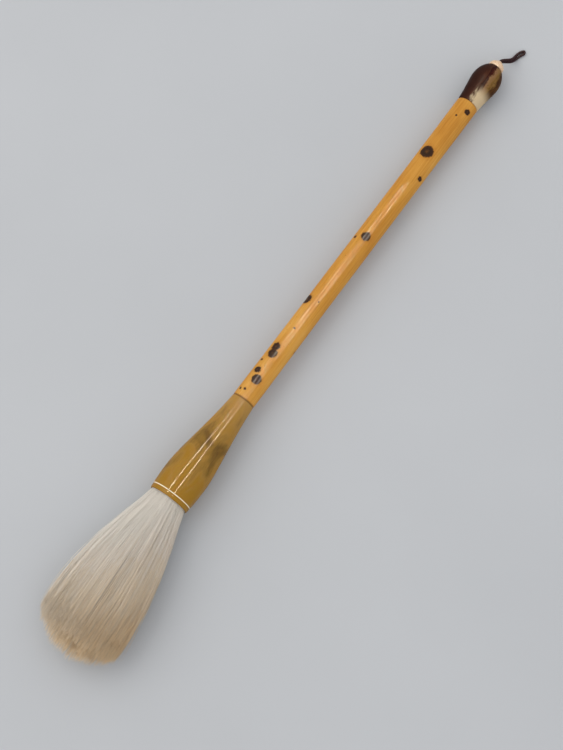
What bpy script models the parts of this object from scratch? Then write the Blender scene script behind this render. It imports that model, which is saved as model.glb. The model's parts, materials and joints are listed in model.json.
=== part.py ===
"""Calligraphy brush: bamboo handle, turned horn ferrule and finial, layered hair tuft, cord loop.

The brush lies on z = 0 with its hair towards -X. Units are metres. The turned parts are built
about a shaft line that starts at the ferrule's mouth and runs up the handle. The shaft rests on
the ferrule's belly and on the finial, so it slopes down a little towards the finial.
"""

import math

import bmesh
import bpy
import numpy as np
from mathutils import Vector

# Driving dimensions, in metres.
HAIR_LENGTH = 0.070          # hair outside the ferrule
FERRULE_LENGTH = 0.047
HANDLE_LENGTH = 0.153
FINIAL_LENGTH = 0.020        # horn part only
BUTTON_HEIGHT = 0.0034
ROOT_RADIUS = 0.0075         # hair bundle where it leaves the ferrule
MOUTH_RADIUS = 0.0082        # ferrule's rim
BELLY_RADIUS = 0.0087        # ferrule at its widest
BELLY_STATION = 0.010        # distance of the widest place from the mouth
HANDLE_RADIUS = 0.0046
BORE_RADIUS = 0.0025         # the culm's own hollow
BULB_RADIUS = 0.0061         # finial at its widest
BULB_STATION = 0.0122        # distance of the widest place from the handle's end
BUTTON_RADIUS = 0.0033
TUFT_HALF_WIDTH = 0.0173     # hair fan at its widest, sideways
TUFT_HALF_HEIGHT = 0.0104    # and up and down, where the hair lies on the table
CORD_DIAMETER = 0.0010

GAP = 0.0003                 # clearance between pieces that touch
ROUND_STEPS = 32
BOWL_DEPTH = 0.018           # hair socket in the ferrule
BOWL_RADIUS = ROOT_RADIUS + GAP
ROSIN_DEPTH = 0.0022
PEG_REACH = 0.015            # how far the peg goes into the ferrule and into the handle
PIVOT_REACH = 0.0082         # bend axis of the hair, in front of the mouth
PIVOT_CLEARANCE = 0.0006

# Places along the shaft, measured from the ferrule's mouth.
HANDLE_START = FERRULE_LENGTH + GAP
HANDLE_END = HANDLE_START + HANDLE_LENGTH
FINIAL_START = HANDLE_END + GAP
FINIAL_END = FINIAL_START + FINIAL_LENGTH
BUTTON_START = FINIAL_END + GAP
BUTTON_END = BUTTON_START + BUTTON_HEIGHT

TOTAL_LENGTH = HAIR_LENGTH + BUTTON_END
MOUTH_X = -TOTAL_LENGTH / 2 + HAIR_LENGTH
BULB_PLACE = FINIAL_START + BULB_STATION
SHAFT_TILT = math.asin((BELLY_RADIUS - BULB_RADIUS) / (BULB_PLACE - BELLY_STATION))
MOUTH_Z = BELLY_RADIUS * math.cos(SHAFT_TILT) + BELLY_STATION * math.sin(SHAFT_TILT)

# Cord hole through the button and finial, with the knot in a wider recess behind it.
CORD_HOLE_RADIUS = 0.0013
RECESS_RADIUS = 0.0018
SPIGOT_LENGTH = 0.009        # finial's spigot inside the handle's bore
KNOT_RADIUS = 0.0015
KNOT_LENGTH = 0.0040
KNOT_SHOULDER = 0.0050       # from the spigot's end up to where the knot bears
LEG_OFFSET = 0.56 * CORD_DIAMETER
TAIL_INSET = 0.0007          # where the moving loop meets its tails, inside the button's hole

BLACK_CORD = (0.035, 0.016, 0.018)
BAMBOO = (0.60, 0.30, 0.08)
FERRULE_HORN = (0.33, 0.20, 0.06)
FINIAL_HORN = (0.10, 0.035, 0.015)
BONE = (0.66, 0.50, 0.33)
WOOD = (0.62, 0.47, 0.27)
ROSIN = (0.25, 0.13, 0.04)
THREAD = (0.70, 0.62, 0.48)
GOAT_HAIR = (0.66, 0.58, 0.46)
CORE_HAIR = (0.50, 0.36, 0.20)


def clear_scene():
    for thing in list(bpy.data.objects):
        bpy.data.objects.remove(thing, do_unlink=True)


def new_collection(name):
    collection = bpy.data.collections.new(name)
    bpy.context.scene.collection.children.link(collection)
    return collection


def plain_material(name, colour, roughness):
    material = bpy.data.materials.new(name)
    material.use_nodes = True
    shader = material.node_tree.nodes["Principled BSDF"]
    shader.inputs["Base Color"].default_value = (*colour, 1.0)
    shader.inputs["Roughness"].default_value = roughness
    return material


def finish(thing, collection, colour, roughness, parent=None):
    """Put an object in the collection, with a material of its own, under its empty."""
    for owner in list(thing.users_collection):
        owner.objects.unlink(thing)
    collection.objects.link(thing)
    thing.data.materials.clear()
    thing.data.materials.append(plain_material(thing.name + "_finish", colour, roughness))
    if parent is not None:
        thing.parent = parent
    return thing


def turned(name, outline, collection, colour, roughness, shaft):
    """A turned piece. Outline is a closed loop of (radius, station), running up the outer side.

    The local Z axis points back towards the hair, so the outer side runs down it as it should.
    """
    mesh = bpy.data.meshes.new(name)
    points = [(radius, 0.0, -station) for radius, station in outline]
    edges = [(i, (i + 1) % len(points)) for i in range(len(points))]
    if outline[0][0] == 0.0 and outline[-1][0] == 0.0:
        edges = edges[:-1]
    mesh.from_pydata(points, edges, [])
    thing = bpy.data.objects.new(name, mesh)
    screw = thing.modifiers.new("turn", "SCREW")
    screw.axis = "Z"
    screw.angle = math.tau
    screw.steps = ROUND_STEPS
    screw.render_steps = ROUND_STEPS
    screw.use_merge_vertices = True
    screw.merge_threshold = 0.00001
    screw.use_smooth_shade = True
    thing.rotation_euler = (0.0, -math.pi / 2, 0.0)
    return finish(thing, collection, colour, roughness, shaft)


def smooth_line(points, spacing):
    """A smooth curve through route points, read about every `spacing` metres."""
    knots = np.array(points, float)
    padded = np.vstack([2 * knots[0] - knots[1], knots, 2 * knots[-1] - knots[-2]])
    out = []
    for i in range(len(knots) - 1):
        p0, p1, p2, p3 = padded[i:i + 4]
        steps = max(1, round(float(np.linalg.norm(p2 - p1)) / spacing))
        for k in range(steps):
            t = k / steps
            out.append(0.5 * (2 * p1 + (p2 - p0) * t + (2 * p0 - 5 * p1 + 4 * p2 - p3) * t**2
                              + (3 * p1 - p0 - 3 * p2 + p3) * t**3))
    out.append(knots[-1])
    return [Vector(p) for p in out]


def ferrule_outline():
    """Vase shape: full belly near the mouth, then a long taper to the handle."""
    rim = [(MOUTH_RADIUS - 0.0003, 0.0), (MOUTH_RADIUS, 0.0003), (MOUTH_RADIUS + 0.0001, 0.0017)]
    rim += [(MOUTH_RADIUS - 0.0001, 0.0020), (MOUTH_RADIUS + 0.0001, 0.0023)]
    belly = [(MOUTH_RADIUS + 0.0003, 0.0045), (BELLY_RADIUS, BELLY_STATION),
             (BELLY_RADIUS - 0.0001, 0.0140), (0.0081, 0.0185), (0.0074, 0.0235),
             (0.0066, 0.0290), (0.0058, 0.0350), (0.0051, 0.0410),
             (HANDLE_RADIUS, FERRULE_LENGTH)]
    return rim + belly


def build_ferrule(collection, shaft):
    """Horn ferrule, open at the mouth for the hair and at the top for the peg."""
    socket_bottom = FERRULE_LENGTH - PEG_REACH - GAP
    inside = [(BORE_RADIUS, FERRULE_LENGTH), (BORE_RADIUS, socket_bottom), (0.0, socket_bottom)]
    bowl = [(0.0, BOWL_DEPTH), (BOWL_RADIUS - 0.0006, BOWL_DEPTH), (BOWL_RADIUS, 0.0120),
            (BOWL_RADIUS, 0.0)]
    outline = bowl + ferrule_outline() + inside
    return turned("horn_ferrule", outline, collection, FERRULE_HORN, 0.22, shaft)


def build_peg(collection, shaft):
    """Wooden peg glued into the ferrule and into the handle's bore."""
    radius = BORE_RADIUS - GAP
    low = FERRULE_LENGTH - PEG_REACH
    high = FERRULE_LENGTH + PEG_REACH
    bevel = 0.0004
    outline = [(0.0, low), (radius - bevel, low), (radius, low + bevel),
               (radius, high - bevel), (radius - bevel, high), (0.0, high)]
    return turned("joint_peg", outline, collection, WOOD, 0.6, shaft)


def build_handle(collection, shaft):
    """One length of bamboo between two nodes, hollow all the way."""
    edge = 0.00015
    waist = HANDLE_RADIUS - 0.00012
    outline = [(BORE_RADIUS, HANDLE_START), (HANDLE_RADIUS - edge, HANDLE_START),
               (HANDLE_RADIUS, HANDLE_START + edge), (waist, HANDLE_START + HANDLE_LENGTH / 3),
               (waist, HANDLE_END - HANDLE_LENGTH / 3), (HANDLE_RADIUS, HANDLE_END - edge),
               (HANDLE_RADIUS - edge, HANDLE_END), (BORE_RADIUS, HANDLE_END)]
    return turned("bamboo_handle", outline, collection, BAMBOO, 0.25, shaft)


def build_finial(collection, shaft):
    """Horn bulb with a spigot for the handle's bore, drilled for the cord."""
    spigot = BORE_RADIUS - GAP
    base = FINIAL_START
    low = base - SPIGOT_LENGTH
    shoulder = low + KNOT_SHOULDER
    bulb = [(HANDLE_RADIUS, base), (0.0050, base + 0.0040), (0.0055, base + 0.0080),
            (BULB_RADIUS, base + BULB_STATION), (0.0060, base + 0.0145),
            (0.0054, base + 0.0168), (0.0045, base + 0.0186), (0.0034, FINIAL_END)]
    outline = [(RECESS_RADIUS, low), (spigot, low), (spigot, base)]
    outline += bulb
    outline += [(CORD_HOLE_RADIUS, FINIAL_END), (CORD_HOLE_RADIUS, shoulder + 0.0005)]
    outline += [(RECESS_RADIUS, shoulder)]
    return turned("horn_finial", outline, collection, FINIAL_HORN, 0.2, shaft)


def build_button(collection, shaft):
    """Bone cap: a low dome with a hole for the cord."""
    skirt = 0.0006
    rise = BUTTON_HEIGHT - skirt
    outline = [(CORD_HOLE_RADIUS, BUTTON_START), (BUTTON_RADIUS, BUTTON_START)]
    for degrees in range(0, 67, 13):
        angle = math.radians(degrees)
        outline.append((BUTTON_RADIUS * math.cos(angle),
                        BUTTON_START + skirt + rise * math.sin(angle)))
    outline.append((CORD_HOLE_RADIUS, BUTTON_END))
    outline.append((CORD_HOLE_RADIUS, BUTTON_START + 0.0010))
    return turned("bone_button", outline, collection, BONE, 0.35, shaft)


def build_knot(collection, shaft):
    """Stopper knot in the finial's recess."""
    middle = FINIAL_START - SPIGOT_LENGTH + KNOT_SHOULDER - GAP - KNOT_LENGTH / 2
    outline = [(0.0, middle - KNOT_LENGTH / 2)]
    for k in range(1, 8):
        angle = k * math.pi / 8
        bulge = 1.0 - 0.10 * abs(math.cos(2 * angle))
        radius = KNOT_RADIUS * math.sin(angle) ** 0.6 * bulge
        outline.append((radius, middle - math.cos(angle) * KNOT_LENGTH / 2))
    outline.append((0.0, middle + KNOT_LENGTH / 2))
    return turned("stopper_knot", outline, collection, BLACK_CORD, 0.7, shaft)


def build_rosin(collection, shaft):
    """Plug of melted rosin that seals the hair's root to the bottom of the socket."""
    high = BOWL_DEPTH - GAP
    low = high - ROSIN_DEPTH
    radius = BOWL_RADIUS - 0.0013
    outline = [(0.0, low), (radius, low), (radius, high), (0.0, high)]
    return turned("rosin_plug", outline, collection, ROSIN, 0.3, shaft)


def build_root_binding(collection, shaft):
    """Thread wound round the hair bundle near its root, a few turns side by side."""
    turns = 4
    pitch = 0.0008
    inner = ROOT_RADIUS - 0.0012
    outer = ROOT_RADIUS - 0.0004
    start = 0.0088
    outline = [(inner, start)]
    for k in range(turns):
        outline.append((outer - 0.00025, start + k * pitch + 0.00005))
        outline.append((outer, start + (k + 0.5) * pitch))
    outline.append((outer - 0.00025, start + turns * pitch))
    outline.append((inner, start + turns * pitch))
    return turned("root_binding", outline, collection, THREAD, 0.8, shaft)


def build_hair_roots(collection, shaft):
    """The two hair layers where they are glued and bound inside the ferrule."""
    low = 0.0002
    high = BOWL_DEPTH - GAP - ROSIN_DEPTH - GAP
    core = 0.0040
    waist = ROOT_RADIUS - 0.0012 - GAP
    core_outline = [(0.0, low), (core, low), (core, high), (0.0, high)]
    turned("core_hair_root", core_outline, collection, CORE_HAIR, 0.7, shaft)
    cover_outline = [(core + GAP, low), (ROOT_RADIUS - 0.0001, low),
                     (ROOT_RADIUS - 0.0001, 0.0075), (waist, 0.0084), (waist, high),
                     (core + GAP, high)]
    turned("cover_hair_root", cover_outline, collection, GOAT_HAIR, 0.7, shaft)


# Outline of the hair fan: distance from the mouth, half width and half height.
FAN_STATIONS = [0.0, 0.006, 0.016, 0.027, 0.039, 0.050, 0.057, 0.063, 0.067, HAIR_LENGTH]
FAN_WIDTHS = [ROOT_RADIUS, 0.0093, 0.0124, 0.0149, 0.0169, TUFT_HALF_WIDTH, 0.0171,
              0.0150, 0.0112, 0.0030]
FAN_HEIGHTS = [ROOT_RADIUS, 0.0080, 0.0092, 0.0100, 0.0104, TUFT_HALF_HEIGHT, 0.0099,
               0.0080, 0.0052, 0.0014]
FLOOR_CLEARANCE = 0.0002
SETTLE_LENGTH = 0.045        # the hair has come to rest this far from the mouth
TUFT_SIDES = 26


def fan_size(t):
    return (float(np.interp(t, FAN_STATIONS, FAN_WIDTHS)),
            float(np.interp(t, FAN_STATIONS, FAN_HEIGHTS)))


def fan_middle(t):
    """Height of the fan's middle line: on the shaft at the root, resting further out."""
    settle = min(1.0, t / SETTLE_LENGTH)
    settle = settle * settle * (3 - 2 * settle)
    resting = TUFT_HALF_HEIGHT + FLOOR_CLEARANCE
    return (1 - settle) * MOUTH_Z + settle * resting


def ring(bm, t, half_width, half_height):
    """One oval section of the fan, across X, at distance t in front of the mouth."""
    middle = fan_middle(t)
    points = []
    for k in range(TUFT_SIDES):
        angle = math.tau * k / TUFT_SIDES
        points.append(bm.verts.new((MOUTH_X - t, half_width * math.cos(angle),
                                    middle + half_height * math.sin(angle))))
    return points


def bridge(bm, first, second):
    count = len(first)
    for k in range(count):
        bm.faces.new((first[k], first[(k + 1) % count], second[(k + 1) % count], second[k]))


def loft(name, strips, caps_of, collection, colour, pivot):
    """A hair layer as a loft. Strips are runs of oval sections, each (distance, width, height).

    caps_of says which sections a flat face closes. Two strips, the outside towards the tip and
    the cavity back from it, are joined at the base by a rim.
    """
    bm = bmesh.new()
    runs = [[ring(bm, *section) for section in strip] for strip in strips]
    for run in runs:
        for first, second in zip(run, run[1:]):
            bridge(bm, first, second)
    for run, place in caps_of:
        bm.faces.new(runs[run][place])
    if len(runs) > 1:
        bridge(bm, runs[1][-1], runs[0][0])
    bmesh.ops.recalc_face_normals(bm, faces=bm.faces)
    bmesh.ops.translate(bm, verts=bm.verts, vec=-pivot.location)
    mesh = bpy.data.meshes.new(name)
    bm.to_mesh(mesh)
    bm.free()
    mesh.shade_smooth()
    thing = bpy.data.objects.new(name, mesh)
    return finish(thing, collection, colour, 0.75, pivot)


def clear_radius(t):
    """Widest radius at distance t that still turns about the bend axis without touching the mouth."""
    if t >= PIVOT_REACH:
        return 1.0
    reach = PIVOT_REACH - PIVOT_CLEARANCE
    return math.sqrt(max(0.0, reach ** 2 - (PIVOT_REACH - t) ** 2))


COVER_START = 0.0034
CORE_START = 0.0012
CORE_END = 0.060
CORE_SHARE = 0.58            # the core's part of the tuft's width
CORE_TAPER_START = 0.040
LAYER_GAP = 0.0005           # between the core and the layer round it


def cover_size(t):
    return tuple(min(half, clear_radius(t)) for half in fan_size(t))


def core_size(t):
    past = max(0.0, t - CORE_TAPER_START) / (CORE_END - CORE_TAPER_START)
    share = CORE_SHARE * math.sqrt(1 - 0.9 * past ** 2)
    limit = clear_radius(t) - LAYER_GAP - GAP
    return tuple(min(share * half, limit) for half in fan_size(t))


def build_core_hair(collection, pivot):
    """Stiffer hair in the middle of the tuft."""
    stations = [*np.linspace(CORE_START, 0.006, 4), *np.linspace(0.012, CORE_END, 8)]
    sections = [(t, *core_size(t)) for t in stations]
    return loft("core_hair", [sections], [(0, 0), (0, -1)], collection, CORE_HAIR, pivot)


def build_cover_hair(collection, pivot):
    """Soft outer layer: a bag round the core, open where the core enters it."""
    stations = [*np.linspace(COVER_START, PIVOT_REACH, 4), *FAN_STATIONS[2:]]
    outside = [(t, *cover_size(t)) for t in stations]
    inward = [CORE_END, *np.linspace(0.057, 0.012, 7), 0.006, COVER_START]
    cavity = [(t, *(half + LAYER_GAP for half in core_size(t))) for t in inward]
    cavity[0] = (CORE_END + LAYER_GAP, *cavity[0][1:])
    return loft("cover_hair", [outside, cavity], [(0, -1), (1, 0)], collection, GOAT_HAIR, pivot)


def shaft_point(station, up=0.0):
    """World point at a station along the shaft, offset up from its line."""
    along = Vector((math.cos(SHAFT_TILT), 0.0, -math.sin(SHAFT_TILT)))
    over = Vector((math.sin(SHAFT_TILT), 0.0, math.cos(SHAFT_TILT)))
    return Vector((MOUTH_X, 0.0, MOUTH_Z)) + along * station + over * up


def tube(name, points, collection, pivot):
    curve = bpy.data.curves.new(name, "CURVE")
    curve.dimensions = "3D"
    curve.bevel_depth = CORD_DIAMETER / 2
    curve.bevel_resolution = 2
    curve.use_fill_caps = True
    spline = curve.splines.new("POLY")
    spline.points.add(len(points) - 1)
    for place, point in zip(spline.points, points):
        place.co = (*(point - pivot.location), 1.0)
    thing = bpy.data.objects.new(name, curve)
    return finish(thing, collection, BLACK_CORD, 0.6, pivot)


# Route of the cord loop past the button: distance out, sideways, and height above the table.
LOOP_ROUTE = [
    (0.0003, 0.00000, 0.00651), (0.0013, -0.00040, 0.00638), (0.0026, -0.00140, 0.00580),
    (0.0042, -0.00235, 0.00465), (0.0060, -0.00280, 0.00320), (0.0079, -0.00292, 0.00195),
    (0.0098, -0.00292, 0.00108), (0.0113, -0.00325, 0.00070), (0.0124, -0.00370, 0.00060),
    (0.0131, -0.00455, 0.00060), (0.0121, -0.00500, 0.00060), (0.0108, -0.00450, 0.00060),
    (0.0095, -0.00398, 0.00060), (0.0078, -0.00362, 0.00070), (0.0059, -0.00325, 0.00178),
    (0.0041, -0.00262, 0.00315), (0.0025, -0.00155, 0.00435), (0.00125, -0.00045, 0.00515),
    (0.0003, 0.00000, 0.00539),
]
LOOP_POINT_SPACING = 0.0007


def build_cord(collection, fixed, pivot):
    """The moving loop, and its two tails that run back through the button to the knot."""
    exit_x = pivot.location.x
    loop = [(exit_x + out, side, height) for out, side, height in LOOP_ROUTE]
    tube("hanging_loop", smooth_line(loop, LOOP_POINT_SPACING), collection, pivot)
    start = FINIAL_START - SPIGOT_LENGTH + KNOT_SHOULDER
    for name, side in (("cord_tail_upper", 1.0), ("cord_tail_lower", -1.0)):
        ends = [shaft_point(start, side * LEG_OFFSET),
                shaft_point(BUTTON_END - TAIL_INSET, side * LEG_OFFSET)]
        tube(name, smooth_line(ends, 0.004), collection, fixed)


def main():
    clear_scene()
    parts = new_collection("calligraphy_brush")

    shaft = bpy.data.objects.new("shaft_line", None)
    shaft.location = (MOUTH_X, 0.0, MOUTH_Z)
    shaft.rotation_euler = (0.0, SHAFT_TILT, 0.0)
    bend = bpy.data.objects.new("hair_bend_axis", None)
    bend.location = (MOUTH_X - PIVOT_REACH, 0.0, MOUTH_Z)
    swing = bpy.data.objects.new("loop_swing_axis", None)
    swing.location = shaft_point(BUTTON_END)
    still = bpy.data.objects.new("fixed_cord", None)
    for empty in (shaft, bend, swing, still):
        parts.objects.link(empty)

    build_ferrule(parts, shaft)
    build_peg(parts, shaft)
    build_handle(parts, shaft)
    build_finial(parts, shaft)
    build_button(parts, shaft)
    build_knot(parts, shaft)
    build_rosin(parts, shaft)
    build_root_binding(parts, shaft)
    build_hair_roots(parts, shaft)
    build_core_hair(parts, bend)
    build_cover_hair(parts, bend)
    build_cord(parts, still, swing)


main()
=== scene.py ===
# %% [markdown]
# # A goat-hair calligraphy brush
# The brush lies on a white board: a fan of pale goat hair, a turned horn ferrule, a handle of
# spotted bamboo, a horn finial with a bone cap, and a thin cord loop to hang it by.
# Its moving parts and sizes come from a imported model, which is loaded first as a fixed frame.

# %% Load the frame
import json
import math

import bmesh
import bpy
import numpy as np
from mathutils import Matrix, Vector, noise


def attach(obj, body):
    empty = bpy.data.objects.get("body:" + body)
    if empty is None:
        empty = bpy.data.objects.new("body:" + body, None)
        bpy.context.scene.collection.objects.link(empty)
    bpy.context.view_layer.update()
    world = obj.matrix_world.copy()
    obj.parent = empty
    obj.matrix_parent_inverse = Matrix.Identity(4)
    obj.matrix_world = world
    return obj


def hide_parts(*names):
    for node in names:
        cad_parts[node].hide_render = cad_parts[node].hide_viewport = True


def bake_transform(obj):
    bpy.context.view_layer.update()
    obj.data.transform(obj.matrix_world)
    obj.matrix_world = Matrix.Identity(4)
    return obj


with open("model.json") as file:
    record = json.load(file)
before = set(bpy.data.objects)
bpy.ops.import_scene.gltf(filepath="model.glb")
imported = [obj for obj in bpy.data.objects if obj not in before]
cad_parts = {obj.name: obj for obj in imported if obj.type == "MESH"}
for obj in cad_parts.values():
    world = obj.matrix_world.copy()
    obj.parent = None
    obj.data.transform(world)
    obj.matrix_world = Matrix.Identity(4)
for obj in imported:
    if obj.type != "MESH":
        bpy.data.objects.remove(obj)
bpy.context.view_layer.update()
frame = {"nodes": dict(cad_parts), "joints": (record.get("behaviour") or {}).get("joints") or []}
MM = 0.001

# %% [markdown]
# ## The line through the brush
# Every turned piece is made about one straight line, the shaft. It starts in the middle of the
# ferrule's mouth and ends where the cord leaves the bone cap. The two joints stand on that line,
# so the line is read from them. A place is then a station along it, a side and a height.

# %% Shaft line
JOINTS = {joint["name"]: joint for joint in frame["joints"]}


def joint_place(name):
    """Where a joint stands, in metres."""
    return Vector(JOINTS[name]["pos_m"])


BEND_REACH = 8.2 * MM        # the hair bends this far in front of the mouth
MOUTH = joint_place("tuft_bend") + Vector((BEND_REACH, 0, 0))
CORD_EXIT = joint_place("loop_swing")
ALONG = (CORD_EXIT - MOUTH).normalized()
SIDE = Vector((0, 1, 0))
UP = ALONG.cross(SIDE)
SHAFT = Matrix((ALONG, SIDE, UP)).transposed().to_4x4()
SHAFT.translation = MOUTH
print("shaft: %.1f mm, mouth at" % ((CORD_EXIT - MOUTH).length / MM), tuple(round(v, 5) for v in MOUTH))

# %% [markdown]
# ## The camera
# It looks down steeply, from the hair's end and one side, so that the brush crosses the frame
# from the lower left to the upper right. It has no depth of field and no shift.

# %% Camera
CAMERA_AZIMUTH = math.radians(-54.3)
CAMERA_ELEVATION = math.radians(73.3)
CAMERA_DISTANCE = 0.5715
CAMERA_AIM = MOUTH + Vector((0.0641, -0.00565, -0.0012))
CAMERA_FIELD = math.radians(28.07)


def look_along(azimuth, elevation):
    """The direction in which a camera at this azimuth and elevation looks."""
    flat = math.cos(elevation)
    return Vector((-math.sin(azimuth) * flat, math.cos(azimuth) * flat, -math.sin(elevation)))


look = look_along(CAMERA_AZIMUTH, CAMERA_ELEVATION)
camera_data = bpy.data.cameras.new("camera")
camera_data.sensor_fit = "VERTICAL"
camera_data.angle = CAMERA_FIELD
camera_data.dof.use_dof = False
camera_data.clip_start = 0.01
camera = bpy.data.objects.new("camera", camera_data)
camera.location = CAMERA_AIM - look * CAMERA_DISTANCE
camera.rotation_euler = look.to_track_quat("-Z", "Y").to_euler()
bpy.context.scene.collection.objects.link(camera)
bpy.context.scene.camera = camera
print("camera lens %.1f mm" % camera_data.lens)

# %% [markdown]
# ## Colours and nodes
# Colours are written as the hex codes that a painter reads off a chart. A shader wants linear
# light, so one function turns them. A second small function adds any node: it sets the node's
# settings, fills or links its inputs, and lays out a colour ramp's stops.

# %% Colour and node helpers
def linear(code, strength=1.0):
    """An sRGB hex colour as linear RGBA."""
    shares = [int(code[i:i + 2], 16) / 255 for i in (0, 2, 4)]
    light = [c / 12.92 if c <= 0.04045 else ((c + 0.055) / 1.055) ** 2.4 for c in shares]
    return (*(strength * c for c in light), 1.0)


def add(tree, kind, inputs=None, stops=None, **settings):
    """Add one node to a tree; an input takes a value, or a link where it is given a socket."""
    made = tree.nodes.new("ShaderNode" + kind)
    for key, value in settings.items():
        setattr(made, key, value)
    for key, value in (inputs or {}).items():
        if isinstance(value, bpy.types.NodeSocket):
            tree.links.new(value, made.inputs[key])
        else:
            made.inputs[key].default_value = value
    for index, (place, code) in enumerate(stops or []):
        if index > 1:
            made.color_ramp.elements.new(place)
        stop = made.color_ramp.elements[index]
        stop.position = place
        stop.color = linear(code)
    return made


def new_material(name, **sockets):
    """A material with a Principled shader, and the shader's fixed values."""
    material = bpy.data.materials.new(name)
    material.use_nodes = True
    shader = material.node_tree.nodes["Principled BSDF"]
    for key, value in sockets.items():
        shader.inputs[key.replace("_", " ").title().replace("Ior", "IOR")].default_value = value
    return material, material.node_tree, shader


def shaft_coordinates(tree):
    """Millimetres along the shaft, to the side and up, read from the object's own coordinates."""
    place = add(tree, "TexCoord").outputs["Object"]
    return add(tree, "Mapping", {"Vector": place, "Location": MOUTH, "Scale": (MM, MM, MM),
                                 "Rotation": SHAFT.to_euler()}, vector_type="TEXTURE").outputs[0]


print("a mid grey of 808080 is %.3f in linear light" % linear("808080")[0])

# %% [markdown]
# ## Pieces
# A finished piece is a mesh whose object sits at the origin. It takes its materials, hides the
# nodes of the frame that it stands for, and rides on one of the bodies when one is given.

# %% Piece helper
def piece(name, mesh, materials, body=None, nodes=()):
    """Put a mesh, or a bmesh, into the scene as a piece of the brush."""
    if isinstance(mesh, bmesh.types.BMesh):
        shape = mesh
        mesh = bpy.data.meshes.new(name)
        shape.to_mesh(mesh)
        shape.free()
    mesh.shade_smooth()
    thing = bpy.data.objects.new(name, mesh)
    bpy.context.scene.collection.objects.link(thing)
    for material in materials:
        mesh.materials.append(material)
    if nodes:
        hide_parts(*nodes)
    if body:
        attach(thing, body)
    mesh.calc_loop_triangles()
    print(name, "has", len(mesh.loop_triangles), "triangles")
    return thing


# %% [markdown]
# ## Smooth lines
# The route of the cord and the outlines of the turned pieces are a few points each. A smooth
# curve that passes through all of them is read at an even spacing.

# %% Smooth line
def smooth_line(points, spacing):
    """A curve through the points, read about every `spacing`."""
    knots = np.array(points, float)
    padded = np.vstack([2 * knots[0] - knots[1], knots, 2 * knots[-1] - knots[-2]])
    out = []
    for i in range(len(knots) - 1):
        before, here, there, after = padded[i:i + 4]
        steps = max(1, round(float(np.linalg.norm(there - here)) / spacing))
        for k in range(steps):
            t = k / steps
            pull = 2 * before - 5 * here + 4 * there - after
            turn = 3 * here - before - 3 * there + after
            out.append(0.5 * (2 * here + (there - before) * t + pull * t**2 + turn * t**3))
    out.append(knots[-1])
    return np.array(out)


# %% [markdown]
# ## The cord loop
# On the real brush this is a thin twisted silk cord, a millimetre thick. Both its ends run back
# through the bone cap into the finial, where they meet in a stopper knot. Outside, it is a narrow
# loop that droops onto the table. It could be a plain round tube, but three twisted plies are
# what makes a cord look like a cord, so its section has three lobes that turn as they go.

# %% Cord route
CORD_DIAMETER = 1.0 * MM
TAIL_START = 196.6 * MM      # station of the knot's shoulder inside the finial
LEG_OFFSET = 0.56 * CORD_DIAMETER
LOOP_ROUTE = [
    (0.0003, 0.00000, 0.00651), (0.0013, -0.00040, 0.00638), (0.0026, -0.00140, 0.00580),
    (0.0042, -0.00235, 0.00465), (0.0060, -0.00280, 0.00320), (0.0079, -0.00292, 0.00195),
    (0.0098, -0.00292, 0.00108), (0.0113, -0.00325, 0.00070), (0.0124, -0.00370, 0.00060),
    (0.0131, -0.00455, 0.00060), (0.0121, -0.00500, 0.00060), (0.0108, -0.00450, 0.00060),
    (0.0095, -0.00398, 0.00060), (0.0078, -0.00362, 0.00070), (0.0059, -0.00325, 0.00178),
    (0.0041, -0.00262, 0.00315), (0.0025, -0.00155, 0.00435), (0.00125, -0.00045, 0.00515),
    (0.0003, 0.00000, 0.00539),
]


def tail(offset):
    """Points of one cord end inside the finial, from the knot to just short of the exit."""
    stations = np.linspace(TAIL_START, (CORD_EXIT - MOUTH).length - 1.2 * MM, 6)
    return [SHAFT @ Vector((station, 0, offset)) for station in stations]


loop_points = [Vector((CORD_EXIT.x + out, side, height)) for out, side, height in LOOP_ROUTE]
cord_points = tail(LEG_OFFSET) + loop_points + tail(-LEG_OFFSET)[::-1]
cord_path = smooth_line(cord_points, 0.35 * MM)

# %% [markdown]
# A curve can carry any section along its route. The section here is a small three-lobed ring,
# and a growing tilt at each point twists it. The curve is then turned into a mesh.

# %% Cord sweep
def sweep(name, path, diameter, turns_per_mm, closed=False):
    """A twisted three-ply cord along a path, as a mesh."""
    section = bpy.data.curves.new(name + "_section", "CURVE")
    ring = section.splines.new("POLY")
    ring.points.add(14)
    for k, point in enumerate(ring.points):
        angle = math.tau * k / 15
        radius = diameter / 2 * (1.06 + 0.11 * math.cos(3 * angle))
        point.co = (radius * math.cos(angle), radius * math.sin(angle), 0, 1)
    ring.use_cyclic_u = True
    section_holder = bpy.data.objects.new(name + "_section", section)
    route = bpy.data.curves.new(name + "_route", "CURVE")
    route.dimensions = "3D"
    route.bevel_mode = "OBJECT"
    route.bevel_object = section_holder
    route.use_fill_caps = not closed
    spline = route.splines.new("POLY")
    spline.points.add(len(path) - 1)
    spline.use_cyclic_u = closed
    travelled = np.concatenate([[0], np.cumsum(np.linalg.norm(np.diff(path, axis=0), axis=1))])
    for point, place, distance in zip(spline.points, path, travelled):
        point.co = (*place, 1)
        point.tilt = math.tau * turns_per_mm * distance / MM
    holder = bpy.data.objects.new(name + "_route", route)
    for thing in (section_holder, holder):
        bpy.context.scene.collection.objects.link(thing)
    bpy.context.view_layer.update()
    mesh = bpy.data.meshes.new_from_object(holder.evaluated_get(bpy.context.evaluated_depsgraph_get()))
    for thing in (section_holder, holder):
        bpy.data.objects.remove(thing)
    shape = bmesh.new()
    shape.from_mesh(mesh)
    bmesh.ops.remove_doubles(shape, verts=shape.verts, dist=0.001 * MM)
    bmesh.ops.recalc_face_normals(shape, faces=shape.faces)
    shape.to_mesh(mesh)
    shape.free()
    mesh.name = name
    return mesh


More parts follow.
